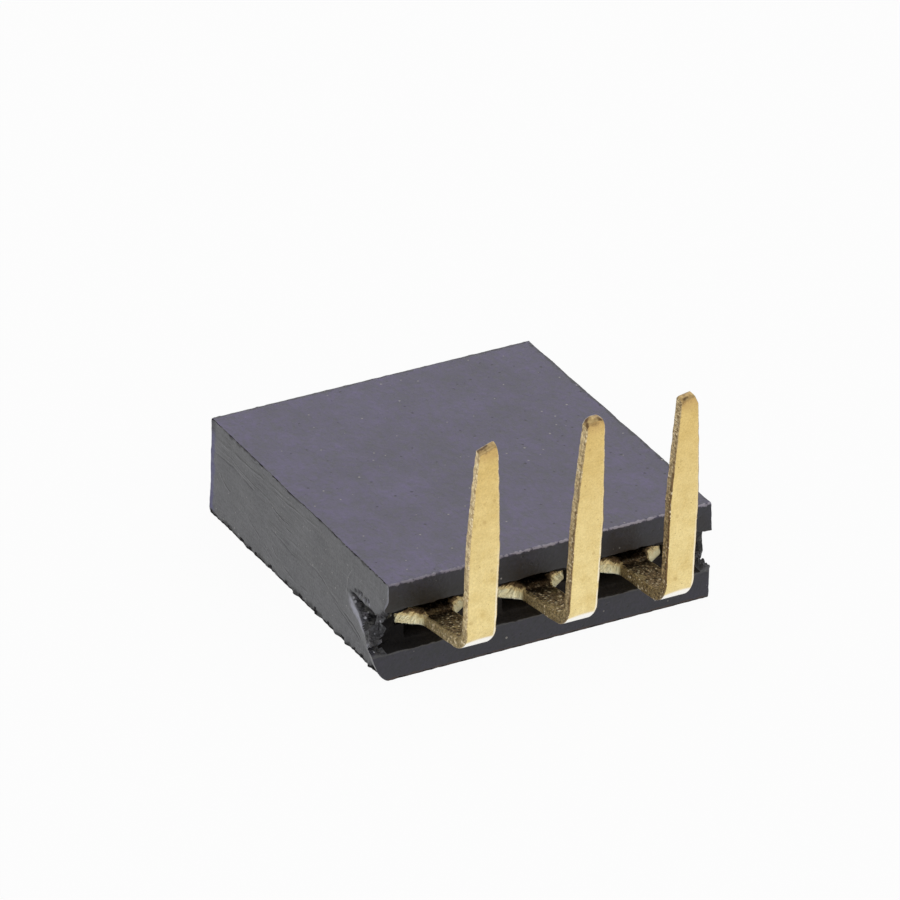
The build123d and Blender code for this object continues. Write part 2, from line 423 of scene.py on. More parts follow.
def webbed(y, z, amount):
    """Bring the slot's floor out and its ceiling down: the web of plastic left beside the tear."""
    out = np.where(y < SLOT_FLOOR, (y - REAR) / (SLOT_FLOOR - REAR), ease((SLOT_FLOOR + 0.7 - y) / 0.7))
    tall = ease((z - 0.55) / 0.2) * ease((2.0 - z) / 0.2)
    uneven = 1 + 0.30 * ripple(z, size=0.3, seed=28)
    down = ease((y - REAR - 0.06) / 0.34) * ease((SLOT_FLOOR + 0.8 - y) / 0.8)
    tent = np.clip(np.minimum((z - 1.1) / 0.68, (2.45 - z) / 0.67), 0, 1)
    return y - amount * WEB_REACH * out * tall * uneven, z - amount * 0.23 * down * tent


def housing_layers():
    """Points of every layer: end shapes along X, and rounded or worn edges across Y and Z."""
    flat_y, flat_z = np.meshgrid(Y_LINES, Z_LINES, indexing="ij")
    left = torn_end(*webbed(flat_y, flat_z, 1.0))
    # the other end: uneven, chipped and broken beside the slot, and drawn in at its upper rear corner
    right = RIGHT - 0.016 - 0.008 * ripple(flat_y, flat_z, size=1.1, seed=8)
    chipped = mound((flat_z, 0.70, 0.05)) + mound((flat_z, SLOT_TOP, 0.07))
    chipped = chipped * ease((SLOT_FLOOR - flat_y) / 0.3)
    right = right + 0.004 * ripple(flat_y, flat_z, size=0.16, seed=13) + 0.016 * chipped
    broken = ease((SLOT_FLOOR + 0.5 - flat_y) / 0.3) * mound((flat_z, MID_Z, 0.55))
    right = right - broken * 0.012 * (1 + ripple(flat_y, flat_z, size=0.22, seed=19))
    right = right - 0.05 * ease((flat_z - 1.9) / 0.7) * ease((-2.0 - flat_y) / 2.0)
    # each end's shape fades into the plain layers of the bar
    step = LEFT_STEPS[:, None, None]
    x_left = left * (1 - step) + (LEFT + LEFT_ZONE) * step
    lines = X_LINES[:, None, None]
    pull = ease((lines - (RIGHT - 0.5)) / 0.5)
    x_right = lines + pull * (right - RIGHT)
    x = np.concatenate([x_left, x_right])
    y = np.broadcast_to(flat_y, x.shape).copy()
    z = np.broadcast_to(flat_z, x.shape).copy()
    step = np.concatenate([LEFT_STEPS, np.ones(len(X_LINES))])[:, None, None]
    # the slot's floor stands out at both ends
    y, z = webbed(y, z, 1 - ease(step / 0.7))
    out_to_rear = np.where(flat_y < SLOT_FLOOR, (flat_y - REAR) / (SLOT_FLOOR - REAR),
                           ease((SLOT_FLOOR + 0.6 - flat_y) / 0.6))
    tall = ease((flat_z - 0.60) / 0.2) * ease((1.90 - flat_z) / 0.2)
    uneven = 1 + 0.2 * ripple(z, size=0.5, seed=29)
    y = y - FAR_WEB_REACH * ease((x - RIGHT + 0.30) / 0.22) * uneven * out_to_rear * tall
    # long edges, rounded more where they are worn
    worn = 1.15 + 0.35 * ripple(x, size=0.40, seed=11) + 0.30 * ripple(x, size=0.15, seed=12)
    for cy, cz, sy, sz, radius in (
        (REAR, HIGH, -1, 1, EDGE), (REAR, 0, -1, -1, EDGE),
        (FRONT, HIGH, 1, 1, EDGE), (FRONT, 0, 1, -1, EDGE),
        (REAR, SLOT_TOP, -1, -1, LIP), (REAR, SLOT_LOW, -1, 1, LIP),
        (SLOT_FLOOR, SLOT_TOP, 1, 1, CORNER), (SLOT_FLOOR, SLOT_LOW, 1, -1, CORNER),
    ):
        sharper = 0.35 if (cy, cz) == (REAR, 0) else 1.0
        y, z = rounded(y, z, cy, cz, sy, sz, radius, worn * sharper)
    # the slot's two lips wave a little, and the lower one stands up at both ends
    in_slot = ease((SLOT_FLOOR + 0.05 - y) / 0.2)
    lip_top = in_slot * mound((z, SLOT_TOP, 0.10))
    z = z + 0.016 * lip_top * (ripple(x, size=0.7, seed=14) + 0.4 * ripple(x, size=0.2, seed=15))
    lip_low = in_slot * mound((z, SLOT_LOW, 0.08))
    z = z + 0.013 * lip_low * (ripple(x, size=0.8, seed=16) + 0.5 * ripple(x, size=0.16, seed=17))
    below, above = ease((flat_z - 0.4) / 0.32), np.clip((1.25 - flat_z) / 0.53, 0, 1)
    raised = np.where(flat_z < SLOT_LOW + 0.001, below, above)
    chewed = 1 + 0.45 * ripple(x, y, size=0.12, seed=31)
    chewed = chewed * ease((x - RIGHT + 0.22) / 0.13) * ease((SLOT_FLOOR + 0.6 - y) / 0.6)
    z = z + FAR_LIP_RISE * raised * chewed
    lift = (0.08 * ease((SLOT_FLOOR - y) / 0.3) * ease((LEFT - x) / 0.3)) * np.clip(z / SLOT_LOW, 0, 1)
    z = np.where(z < MID_Z, z + lift, z)
    return np.stack([x, y, z], -1)


cell_y = (Y_LINES[1:] + Y_LINES[:-1])[:, None] / 2
cell_z = (Z_LINES[1:] + Z_LINES[:-1])[None, :] / 2
present = ~((cell_y < SLOT_FLOOR) & (cell_z > SLOT_LOW) & (cell_z < SLOT_TOP))
layers = housing_layers()
points, quads, kinds, _ = layered_solid(present, layers)
housing = make_piece("header_housing", points, quads, np.where(kinds < 2, 1, 0), sharp=30)  # 1 on both ends

# %% [markdown]
# ## The cavities
# Behind each pin entry the real housing is hollow: a groove for the flat contact, a taller channel for the
# mating pin, and a square funnel that guides the pin in. The tool that cuts them is one closed skin, a loop
# of points carried from the slot to the mating face, with the loop's shape changing on the way. A Boolean
# takes it out of the bar, which is what the core pin of the mould did.

# %% Cavity cutters
ROW_X = (-2.54, 0.0, 2.54)
CHANNEL_END = 3.25
THROAT = 0.45  # half the entry's width
FUNNEL = 0.80  # half the width of the funnel at the mating face
FUNNEL_DEPTH = 0.40
GROOVE_HALF, GROOVE_RISE, CHANNEL_HALF, CHANNEL_RISE = 0.96, 0.155, 0.70, 0.50


def square_reach(angle, half, power=14):
    """Distance to a square with slightly rounded corners: (|cos|^n + |sin|^n)^(-1/n) times half its width."""
    return half * (np.abs(np.cos(angle)) ** power + np.abs(np.sin(angle)) ** power) ** (-1 / power)


def plus_reach(angle):
    """Distance to the outline of the groove and the channel together, along each angle."""
    c, s = np.maximum(np.abs(np.cos(angle)), 1e-9), np.maximum(np.abs(np.sin(angle)), 1e-9)
    groove = np.minimum(GROOVE_HALF / c, GROOVE_RISE / s)
    channel = np.minimum(CHANNEL_HALF / c, CHANNEL_RISE / s)
    return np.maximum(groove, channel)


def cavity_cutters():
    """For each way, loops of (angle, distance) at stations along Y, closed by a cap at each end."""
    corner = [math.atan2(GROOVE_RISE, GROOVE_HALF), math.atan2(GROOVE_RISE, CHANNEL_HALF),
              math.atan2(CHANNEL_RISE, CHANNEL_HALF), math.pi / 4]
    quarter = np.array(sorted(corner + list(np.radians([0, 5, 22, 29, 40, 50, 60, 75]))))
    angle = np.concatenate([quarter, np.pi - quarter[::-1], np.pi + quarter, 2 * np.pi - quarter[::-1]])
    angle = np.unique(np.round(angle[:-1], 9))  # a whole turn is the same as no turn
    slope = (FUNNEL - THROAT) / FUNNEL_DEPTH
    plus, square = plus_reach(angle), square_reach(angle, THROAT)
    reaches = [(SLOT_FLOOR - 0.2, plus), (CHANNEL_END, plus), (CHANNEL_END, square),
               (FRONT - FUNNEL_DEPTH, square), (FRONT + 0.1, square_reach(angle, FUNNEL + 0.1 * slope))]
    ring = np.stack([
        np.stack([reach * np.cos(angle), np.full_like(angle, y), MID_Z + reach * np.sin(angle)], -1)
        for y, reach in reaches
    ])
    n, m = ring.shape[:2]
    index = np.arange(n * m).reshape(n, m)
    following = np.roll(index, -1, axis=1)
    side = np.stack([index[:-1], index[1:], following[1:], following[:-1]], -1).reshape(-1, 4).tolist()
    one = side + [index[0].tolist(), index[-1][::-1].tolist()]
    points = np.concatenate([ring.reshape(-1, 3) + (x, 0, 0) for x in ROW_X])
    return points, [[v + way * n * m for v in face] for way in range(len(ROW_X)) for face in one]


cutter_points, cutter_faces = cavity_cutters()
cutter_mesh = bpy.data.meshes.new("cutters")
cutter_mesh.from_pydata((cutter_points * MM).tolist(), [], cutter_faces)
cutter = bpy.data.objects.new("cutters", cutter_mesh)
bpy.context.scene.collection.objects.link(cutter)
carve = housing.modifiers.new("cavities", "BOOLEAN")
carve.operation, carve.solver, carve.object = "DIFFERENCE", "EXACT", cutter
bpy.context.view_layer.update()
carved = bpy.data.meshes.new_from_object(housing.evaluated_get(bpy.context.evaluated_depsgraph_get()))
housing.modifiers.clear()
housing.data = carved
carved.name = "header_housing"
bpy.data.objects.remove(cutter)
carved.set_sharp_from_angle(angle=math.radians(30))
print("housing with cavities:", len(carved.polygons), "faces")

# %% [markdown]
# ## The contacts
# Each contact was stamped from 0.25 mm strip, plated, and bent. So it is modelled flat and then bent: a grid
# runs along the strip and across it, the throat of the fork is left out of the grid, and the rows follow a
# route of straight runs and arcs. The layers through the thickness draw in at one side, where the punch
# rolled the edge over, and stay sharp at the other, where it broke through. Each tail dips a little before
# its bend, the bend is slightly necked, and the broken ends of the shoulders slant and are scalloped.

# %% Contact sizes
STRIP = 0.25
FORK_TIP_Y, BODY_END_Y, SHOULDER_ROOT_Y = 3.03, -1.84, -4.10
TAIL_HALF, BODY_HALF, TIP_HALF = 0.37, 0.93, 0.23
ROOT_HALF, ROOT_ROUND = 0.28, 0.25  # the root of the fork's throat: half its flat and the radius beside it
LEG_FOOT, LEG_TOP = 1.84, 6.63  # heights
ROUTE = np.array([(FORK_TIP_Y, MID_Z), (-4.22, MID_Z), (-5.90, MID_Z + 0.27), (-5.90, LEG_TOP)])
ROUTE_RADII = (1.2, 0.54)
LEG_LEANS = ((0.01, 0.05), (0.085, 0.215), (0.055, 0.085))  # sideways, at the foot and at the tip
LEG_DIPS = (0.03, 0.09, 0.13)  # how much lower than the route each bend sits
LEG_TWISTS = ((4, 11), (0, 0), (0, 0))  # degrees about the upright, at the foot and at the tip
TIP_SHAPES = (  # across the tip from -1 to 1, and how far below the highest point
    ((-1.0, 0.19), (0.50, 0.01), (0.72, 0.0), (0.86, 0.07), (1.0, 0.24)),
    ((-1.0, 0.17), (-0.72, 0.05), (-0.30, 0.0), (0.45, 0.0), (0.82, 0.06), (1.0, 0.20)),
    ((-1.0, 0.09), (-0.80, 0.05), (0.42, 0.0), (0.55, 0.02), (1.0, 0.24)),
)


def bent_route(corners, radii, grain=0.004):
    """Points along straight runs and arcs: an arc of radius r starts r tan(turn / 2) before a corner."""
    pieces = [corners[:1]]
    for before, corner, after, radius in zip(corners[:-2], corners[1:-1], corners[2:], radii):
        arrive = (corner - before) / np.linalg.norm(corner - before)
        leave = (after - corner) / np.linalg.norm(after - corner)
        turn = math.acos(float(arrive @ leave))
        reach = radius * math.tan(turn / 2)
        inwards = leave - arrive
        centre = corner + inwards / np.linalg.norm(inwards) * radius / math.cos(turn / 2)
        start = corner - arrive * reach - centre
        angles = np.linspace(0, turn, max(8, int(radius * turn / grain)))[:, None]
        pieces.append(centre + start * np.cos(angles) + arrive * radius * np.sin(angles))
    pieces.append(corners[-1:])
    return np.concatenate(pieces)


route = bent_route(ROUTE, ROUTE_RADII)
route_run = np.concatenate([[0], np.cumsum(np.linalg.norm(np.diff(route, axis=0), axis=1))])
BEND_RUN = float(route_run[np.argmax(route[:, 0] < ROUTE[2, 0] + 0.0005)])  # where the leg begins
print("strip runs", round(float(route_run[-1]), 2), "mm from fork to tip")

# %% Contact outline
RUN_END = float(route_run[-1])
TAPER_RUN = RUN_END - 2.63  # where the leg starts to narrow
ROOT_RUN = FORK_TIP_Y - SHOULDER_ROOT_Y  # where the shoulders have narrowed to the tail
OUTER = np.array([  # y, half width from the fork's tips to where the tail leaves the slot
    (3.03, 0.64), (3.00, 0.69), (2.33, 0.66), (-1.70, 0.92), (-1.84, 0.93), (-2.16, 0.93), (-2.19, 0.95),
    (-2.54, 0.93), (-3.70, 0.93), (-3.74, 0.92), (-3.78, 0.87), (-3.98, 0.51), (-4.03, 0.44), (-4.09, 0.395),
    (-4.17, 0.375), (-4.26, 0.37),
])
INNER = np.array([  # y, half width of the fork's opening
    (3.03, 0.50), (2.98, 0.45), (2.75, 0.37), (2.55, 0.29), (2.42, 0.264), (2.33, 0.26), (2.2, 0.266),
    (1.9, 0.29), (-1.3, 0.505),
])


def strip_rows():
    """Distances along the strip of the grid's rows, close together where the outline or the route turns."""
    return stations(0, (0.05, 2), (0.9, 14), (4.3, 24), (4.62, 4), (4.87, 12), (5.3, 6), (6.7, 14), (6.82, 5),
                    (7.30, 24), (7.6, 8), (8.3, 8), (BEND_RUN - 0.65, 6), (BEND_RUN + 0.05, 24),
                    (TAPER_RUN - 1.0, 12), (TAPER_RUN, 10), (RUN_END, 48))


def outline_halves(run):
    """Half the outer width and half the throat's width along the strip."""
    y = FORK_TIP_Y - run
    outer = np.interp(-y, -OUTER[:, 0], OUTER[:, 1])
    narrow = np.clip((run - TAPER_RUN) / (RUN_END - TAPER_RUN), 0, 1)
    outer = np.where(run > TAPER_RUN, TAIL_HALF + (TIP_HALF - TAIL_HALF) * narrow, outer)
    inner = np.interp(-y, -INNER[:, 0], INNER[:, 1])
    from_root = np.clip(y - BODY_END_Y, 0, ROOT_ROUND)
    arc = ROOT_HALF + np.sqrt(np.maximum(ROOT_ROUND ** 2 - (ROOT_ROUND - from_root) ** 2, 0))
    inner = np.where(y < -1.3, np.minimum(ROOT_HALF + ROOT_ROUND, inner + 0.025), inner)
    inner = np.where(y < BODY_END_Y + ROOT_ROUND, arc, inner)
    return outer, np.where(run < FORK_TIP_Y - BODY_END_Y, inner, np.minimum(ROOT_HALF, 0.6 * outer))


print(len(strip_rows()), "rows along the strip")

# %% Contact meshes
THROUGH = np.array([-1.0, -0.96, -0.88, -0.75, -0.4, 0.0, 0.3, 0.6, 0.78, 0.90, 0.97, 1.0]) * STRIP / 2
DRAWN_IN = np.array([0.022, 0.010, 0.002, 0.0, 0.0, 0.0, 0.0, 0.0, 0.003, 0.012, 0.030, 0.050])


def contact_layers(x, foot, tip, dip, twists, tip_shape, seed):
    """Rows along the bent route, columns across it, layers through it: point = route + normal * through."""
    run = strip_rows()
    outer, inner = outline_halves(run)
    prong = np.array([0, 0.08, 0.3, 0.55, 0.8, 0.94, 1.0])
    web = np.linspace(-1, 1, 8)[1:-1]
    shape = (len(THROUGH), len(run), 2 * len(prong) + len(web))
    # the shoulders: pressed thicker where they broke, their ends drawn in on a slant and scalloped
    pressed = np.exp(-(((run - ROOT_RUN + 0.20) / 0.22) ** 4))[None, :, None]
    on_shoulder = np.clip((outer - 0.39) / 0.25, 0, 1) * np.exp(-(((run - ROOT_RUN + 0.18) / 0.17) ** 4))
    drawn = DRAWN_IN[:, None, None] * (1 + 1.3 * on_shoulder)[None, :, None]
    slant = np.clip((THROUGH / (STRIP / 2) + 0.3) / 1.3, 0, 1)[:, None, None]
    scallop = 1 + 0.22 * ripple(run, size=0.09, seed=seed + 9)
    drawn = drawn + 0.22 * slant * (scallop * on_shoulder)[None, :, None]
    wide, narrow = outer[None, :, None] - drawn, inner[None, :, None]
    narrow = narrow + np.where(run < FORK_TIP_Y - BODY_END_Y, 1, 0)[None, :, None] * drawn
    right = narrow + prong * (wide - narrow)
    across = np.concatenate([-right[..., ::-1], web * narrow, right], -1)
    lumpy = 1 + 0.12 * ripple(across, size=0.3, seed=seed + 5)
    bulge = ease((BODY_HALF + 0.01 - np.abs(across)) / 0.36) * lumpy
    swell = np.where(THROUGH > 0, 0.95, 0.28)[:, None, None] * bulge - 0.16
    through = THROUGH[:, None, None] * (1 + swell * pressed)
    # the edges waver, and the bend is necked on one side
    uneven = 0.006 * ripple(run, size=0.5, seed=seed)
    necked = 0.05 * mound((run, BEND_RUN - 0.50, 0.22))[None, :, None]
    across = across + uneven[None, :, None] - necked * np.clip(across / TAIL_HALF, 0, 1)
    share = across / outer[None, :, None]
    ending = ease((run - TAPER_RUN) / (RUN_END - TAPER_RUN))[None, :, None]
    outwards = (np.abs(THROUGH) / (STRIP / 2))[:, None, None] ** 6
    # the cut tip and the fork's tips, rounded through the thickness
    drop = np.interp(share, *np.array(tip_shape).T) + 0.05 * outwards
    along = np.broadcast_to(run[None, :, None], shape) - drop * ending ** 4
    along = along + 0.05 * outwards * (1 - ease(run / 0.3))[None, :, None]
    # from the flat strip to the bent one, with the leg's own twist, lean and dip
    y = np.interp(along, route_run, route[:, 0])
    z = np.interp(along, route_run, route[:, 1])
    heading_y = np.gradient(route[:, 0], route_run)
    heading_z = np.gradient(route[:, 1], route_run)
    ty, tz = np.interp(along, route_run, heading_y), np.interp(along, route_run, heading_z)
    length = np.hypot(ty, tz)
    up_leg = np.clip((z - LEG_FOOT) / (LEG_TOP - LEG_FOOT), 0, 1)
    twist = np.radians(twists[0] * ease((along - BEND_RUN + 0.3) / 0.5) + (twists[1] - twists[0]) * up_leg)
    sideways = across * np.cos(twist) + through * np.sin(twist)
    outward = through * np.cos(twist) - across * np.sin(twist)
    y, z = y + outward * tz / length, z - outward * ty / length
    lean = foot * ease((-4.1 - y) / 1.5) + (tip - foot) * up_leg
    z = z - dip * ease((-4.2 - y) / 1.3) * (1 - ease((z - 1.4) / 3.5))
    strip = np.stack([across, along, through], -1)
    return np.stack([x + sideways + lean, y, z], -1), strip, share, run, len(prong), len(web)


def make_contact(number, x, foot, tip, dip, twists, tip_shape):
    """A contact's mesh, with its flat coordinates and its share of the half width kept as attributes."""
    layers, strip, share, run, prongs, webs = contact_layers(
        x, foot, tip, dip, twists, tip_shape, seed=20 + number)
    cells = np.ones((layers.shape[1] - 1, layers.shape[2] - 1), bool)
    middle = (run[1:] + run[:-1])[:, None] / 2
    columns = np.arange(cells.shape[1])[None, :]
    cells &= ~((middle < FORK_TIP_Y - BODY_END_Y) & (columns >= prongs - 1) & (columns <= prongs + webs - 1))
    points, quads, kinds, used = layered_solid(cells, layers)
    if signed_volume(points, quads) < 0:
        quads = quads[:, ::-1]
    faces = np.choose(kinds, (0, 3, 2, 1))
    return make_piece(f"stamped_contact_{number}", points, quads, faces, sharp=40,
                      attributes={"strip": strip.reshape(-1, 3)[used],
                                  "share": np.repeat(share.reshape(-1, 1), 3, axis=1)[used]})


contacts = [
    make_contact(n + 1, x, *lean, dip, twists, tip_shape)
    for n, (x, lean, dip, twists, tip_shape) in enumerate(
        zip(ROW_X, LEG_LEANS, LEG_DIPS, LEG_TWISTS, TIP_SHAPES))
]

# %% [markdown]
# ## Effects that several finishes share
# Moulded plastic, cut plastic and plated metal all carry fine grain, dust, scratches and lines along edges,
# at different sizes and strengths; some of these are painted glints, painted highlights and painted shade.
# Each effect is a node group that takes a position in millimetres and puts out a mask or a value, and the
# materials decide what to do with it. They work from Object coordinates, which stay with the piece, or from
# the flat coordinates of the metal strip.

# %% Positions, ramps and blends
def split(vector):
    """The three parts of a position."""
    return node(vector.tree, "ShaderNodeSeparateXYZ", {0: vector}, out=(0, 1, 2))


def attribute(tree, name, out="Fac"):
    """A value or a vector stored on the mesh."""
    return node(tree, "ShaderNodeAttribute", out=out, attribute_name=name)


def mapped(vector, scale=(1, 1, 1), turn=(0, 0, 0), shift=(0, 0, 0)):
    """A position, stretched, turned or moved."""
    return node(vector.tree, "ShaderNodeMapping", {0: vector, 1: shift, 2: turn, 3: scale})


def ramp(value, low, high, to_low=0.0, to_high=1.0):
    """A smooth step from low to high."""
    return node(value.tree, "ShaderNodeMapRange", {0: value, 1: low, 2: high, 3: to_low, 4: to_high},
                interpolation_type="SMOOTHSTEP")


def blend(amount, first, second, how="MIX"):
    """A Mix Color node: amount 0 gives the first colour and 1 the second."""
    first, second = (colour if isinstance(colour, Field) else (*colour, 1) for colour in (first, second))
    return node(tree_of((amount, first, second)), "ShaderNodeMix", {0: amount, 6: first, 7: second}, 2,
                data_type="RGBA", blend_type=how)


def painted(colour, *coats):
    """Lay coats over a colour, each given as (mask, strength, colour of the coat)."""
    for mask, strength, coat in coats:
        colour = blend(mask * strength, colour, coat)
    return colour


def varied(colour, *layers):
    """Multiply a colour by a range of shades, once for each (amount, darkest, palest)."""
    for amount, darkest, palest in layers:
        colour = blend(1.0, colour, blend(amount, darkest, palest), "MULTIPLY")
    return colour


def grain(where, size, detail, contrast):
    """Noise of a size in millimetres, from 0 to 1 around 0.5."""
    return place("grain", Vector=where, Size=size, Detail=detail, Contrast=contrast)


def specks(where, spacing, radius, share):
    """A mask of scattered dots: their spacing, their radius and the share of cells that show one."""
    return place("specks", Vector=where, Spacing=spacing, Radius=radius, Share=share)


def edge_line(where, point, reach, breaks, break_size, across=(0, 1, 1)):
    """A mask along the straight edge through a point, broken up by noise. Across is 0 along the edge."""
    return place("edge line", Vector=where, Point=point, Across=across, Reach=reach, Breaks=breaks,
                 Break_Size=break_size)


(vector, size, detail, contrast), result = group(
    "grain", {"Vector": (0, 0, 0), "Size": 0.1, "Detail": 3.0, "Contrast": 1.0}, ["Value"])
noise = node(vector.tree, "ShaderNodeTexNoise", {
    "Vector": vector, "Scale": 1.0 / size, "Detail": detail, "Roughness": 0.6}, "Fac")
fill(result["Value"], maths("MULTIPLY_ADD", noise - 0.5, contrast, 0.5, clamp=True))
print("group grain:", len(vector.tree.nodes), "nodes")

# %% Specks and scratches
# A Voronoi texture drops one point in each cell. Only a share of the cells show theirs, each with its own
# size, which gives scattered dust, and in bright colours painted glints. The same group on a stretched
# position gives short scratches.
(vector, spacing, radius, share), result = group(
    "specks", {"Vector": (0, 0, 0), "Spacing": 0.3, "Radius": 0.02, "Share": 0.5}, ["Mask"])
distance, chance = node(vector.tree, "ShaderNodeTexVoronoi", {"Vector": vector, "Scale": 1.0 / spacing},
                        ("Distance", "Color"))
first_chance, second_chance = node(vector.tree, "ShaderNodeSeparateColor", {0: chance}, (0, 1))
size = radius * (second_chance + 0.4)
spot = ramp(distance * spacing, size * 0.45, size, 1.0, 0.0)
fill(result["Mask"], spot * maths("LESS_THAN", first_chance, share))
print("group specks:", len(vector.tree.nodes), "nodes")

# %% Lines along straight edges
# The housing's long edges are straight, so the distance from such an edge is the distance from a point once
# the direction along the edge is multiplied away. Noise breaks the line up. The lines carry painted
# highlights, painted shade and dark edges.
(vector, point, across, reach, breaks, break_size), result = group(
    "edge line", {"Vector": (0, 0, 0), "Point": (0, 0, 0), "Across": (0, 1, 1), "Reach": 0.08, "Breaks": 0.5,
                  "Break Size": 0.2}, ["Mask"])
offset = vector_maths("MULTIPLY", vector_maths("SUBTRACT", vector, point), across)
distance = vector_maths("LENGTH", offset, out="Value")
noise = node(vector.tree, "ShaderNodeTexNoise", {
    "Vector": vector, "Scale": 1.0 / break_size, "Detail": 3.0}, "Fac")
reach = reach * ((noise - 0.5) * (breaks * 4.0) + 1.0)
near = maths("SUBTRACT", 1.0, distance / maths("MAXIMUM", reach, 0.001), clamp=True)
fill(result["Mask"], ramp(near, 0.0, 0.6))
print("group edge line:", len(vector.tree.nodes), "nodes")

# %% Start and finish a material
def principled(name, colour, roughness, metallic=0.0, level=0.5):
    """A material with one Principled shader, and Object coordinates in its tree, in millimetres."""
    material = bpy.data.materials.new(name)
    material.use_nodes = True
    shader = material.node_tree.nodes["Principled BSDF"]
    for key, value in (("Base Color", (*colour, 1)), ("Roughness", roughness), ("Metallic", metallic),
                       ("Specular IOR Level", level)):
        shader.inputs[key].default_value = value
    where = node(material.node_tree, "ShaderNodeTexCoord", out="Object")
    where = node(where.tree, "ShaderNodeVectorMath", {0: where, "Scale": 1 / MM}, operation="SCALE")
    return material, where


def finish(material, height, strength, **inputs):
    """Fill the inputs of a material's shader, and its normal from a height in millimetres."""
    shader = material.node_tree.nodes["Principled BSDF"]
    for key, value in inputs.items():
        fill(shader.inputs[key.replace("_", " ")], value)
    raised = {"Height": height, "Distance": MM, "Strength": strength}
    fill(shader.inputs["Normal"], node(height.tree, "ShaderNodeBump", raised))
    print(f"{material.name}: {len(material.node_tree.nodes)} nodes")


print("material helpers ready")

# %% [markdown]
# ## Moulded plastic
# The moulded skin is a black glass-filled plastic. Seen at a low angle it looks grey, because it mirrors the
# white room, and the face on top is painted paler and violet, as a painted sheen. It carries a fine mottle
# from the mould, strokes and short scratches, dust and pits, a brown darkening on the rear face above the
# slot, deepest near the slot and to the left, a pale broken line along its near top edge that is a painted
# highlight, a painted highlight along the slot's lower lip and painted shade along its upper lip, and dark
# broken lines along the far and right top edges.

# %% Moulded skin
skin, where = principled("moulded_black", (0.020, 0.017, 0.024), 0.45)
x, y, z = split(where)
fine = grain(mapped(where, (1.0, 0.7, 1.1)), 0.10, 5.0, 2.0)
rear_side = ramp(y, REAR + 0.10, REAR + 0.02)
upper_rear = rear_side * ramp(z, 1.5, 1.75)
# The near top edge carries a painted highlight.
near_top_highlight = edge_line(where, (0, REAR + 0.015, HIGH), 0.048, 1.1, 0.10)
far_top = edge_line(where, (0, FRONT, HIGH), 0.13, 0.9, 0.3)
right_top = edge_line(where, (RIGHT, 0, HIGH), 0.10, 1.1, 0.25, across=(1, 0, 1))
dust = specks(where, 0.17, 0.027, 0.13)
scratches = specks(mapped(where, (0.10, 1.0, 1.0), turn=(0, 0, 0.35)), 0.16, 0.010, 0.30)
pits = specks(mapped(where, shift=(1.3, 0.2, 5.4)), 0.20, 0.034, 0.34)
# The top face is painted paler and violet, a painted sheen.
colour = varied(
    blend(ramp(z, 2.44, 2.5), (0.027, 0.026, 0.037), (0.096, 0.084, 0.143)),
    (grain(where, 1.9, 2.0, 1.6), (0.78, 0.80, 0.74), (1.16, 1.14, 1.24)),
    (grain(mapped(where, (1.1, 0.75, 1)), 0.40, 3.0, 2.4), (0.82, 0.87, 0.78), (1.13, 1.08, 1.18)),
    (fine, (0.42, 0.44, 0.42), (1.58, 1.55, 1.58)),
)
colour = painted(
    colour,
    # A brown darkening on the rear face above the slot, deepest near the slot and to the left, in two coats.
    (upper_rear, ramp(x * -0.05 - z, -2.50, -1.70), (0.007, 0.005, 0.003)),
    (upper_rear * ramp(grain(mapped(where, shift=(4.2, 0, 1.1)), 0.8, 3.0, 2.6), 0.45, 0.85), 0.6,
     (0.012, 0.007, 0.005)),
    # A painted highlight, pale and broken, along the near top edge, stronger towards the right.
    (near_top_highlight, ramp(x, -3.5, 1.5, 0.55, 1.0), (0.40, 0.37, 0.44)),
    # A painted highlight along the slot's lower lip.
    (edge_line(where, (0, REAR, SLOT_LOW), 0.05, 0.5, 0.12), 0.6, (0.10, 0.10, 0.10)),
    # Painted shade along the slot's upper lip.
    (edge_line(where, (0, REAR, SLOT_TOP), 0.05, 0.9, 0.15), 0.8, (0.008, 0.005, 0.004)),
    (edge_line(where, (0, REAR, 0), 0.075, 0.5, 0.2), 0.85, (0.060, 0.028, 0.014)),
    (maths("MAXIMUM", far_top, right_top), 0.8, (0.010, 0.009, 0.009)),
    (specks(mapped(where, (0.28, 1.0, 1.0), turn=(0, 0, -0.5)), 0.42, 0.034, 0.20), 0.35,
     (0.022, 0.020, 0.026)),
    (dust, 0.8, (0.45, 0.43, 0.40)),
    (specks(mapped(where, shift=(3.1, 1.7, 0.4)), 0.34, 0.036, 0.12), 0.8, (0.48, 0.46, 0.45)),
    (scratches, 0.5, (0.13, 0.12, 0.14)),
    (pits, 0.7, (0.008, 0.007, 0.008)),
)
finish(skin, fine * 0.010 + dust * 0.006 - scratches * 0.006 - pits * 0.010, 0.6,
       Base_Color=colour, Roughness=fine * 0.22 + 0.36 + near_top_highlight * -0.06)

# %% [markdown]
# ## Slot and cavities
# Little light reaches the slot, and its surfaces get their own material of painted shade: duller than the
# outer skin, darker and with less gloss, which keeps them from mirroring the white floor. The painted shade
# is darkest next to the torn end.

# %% Slot interior
inside, where = principled("slot_painted_shade", (0.008, 0.007, 0.007), 0.8, level=0.08)
fine = grain(where, 0.08, 3.0, 1.8)
colour = painted(
    blend(fine, (0.022, 0.020, 0.020), (0.054, 0.049, 0.048)),
    # Painted shade, deepest next to the torn end.
    (ramp(split(where)[0], -2.2, -3.4), 0.75, (0.012, 0.012, 0.013)),
    (specks(where, 0.5, 0.02, 0.3), 0.5, (0.2, 0.2, 0.19)),
)
finish(inside, fine * 0.02, 0.8, Base_Color=colour)
